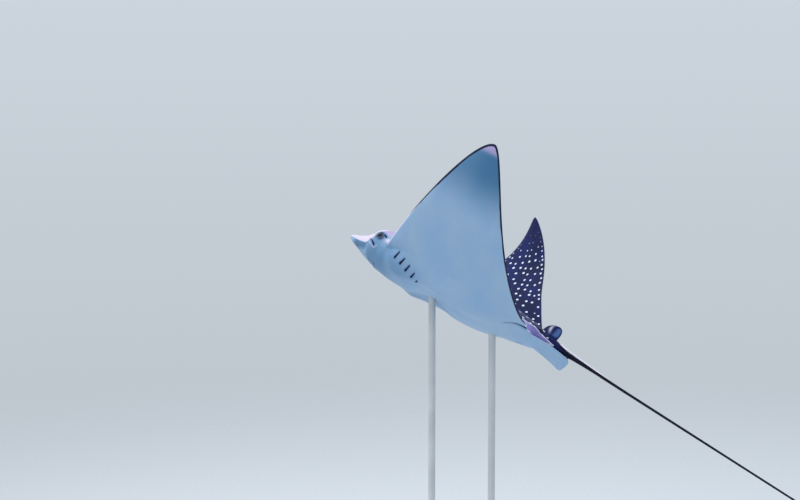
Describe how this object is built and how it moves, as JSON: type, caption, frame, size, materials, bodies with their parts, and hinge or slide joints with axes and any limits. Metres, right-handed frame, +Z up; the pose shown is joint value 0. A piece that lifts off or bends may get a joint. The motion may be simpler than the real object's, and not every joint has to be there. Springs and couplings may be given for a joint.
{
  "type": "spotted eagle ray model",
  "caption": "Life-size swimming eagle ray with raised wings, spotted back, white belly and long whip tail, held up by rods on a flat display base.",
  "frame": {"origin": "centre of the underside of the stand's base plate", "axes": "+Z up; +X towards the end of the tail, so the ray heads towards -X; its left wing is on the -Y side"},
  "size_m": [3.4361, 0.9561, 1.9662],
  "materials": {
    "hide": "smooth wet skin: dark slate back with pale round spots, white belly, dusky wing tips",
    "eye": "dark polished eye",
    "sting": "pale satin horn",
    "stand": "satin light grey paint"
  },
  "bodies": {
    "root": {"snout": "hide", "head": "hide", "trunk": "hide", "wing_left": "hide", "wing_right": "hide", "pelvic_fin_left": "hide", "pelvic_fin_right": "hide", "dorsal_fin": "hide", "tail_1": "hide", "tail_2": "hide", "tail_3": "hide", "tail_4": "hide", "eye_left": "eye", "eye_right": "eye", "sting_lower": "sting", "sting_upper": "sting", "stand_base": "stand", "stand_rod_front": "stand", "stand_rod_rear": "stand"}
  },
  "joints": []
}
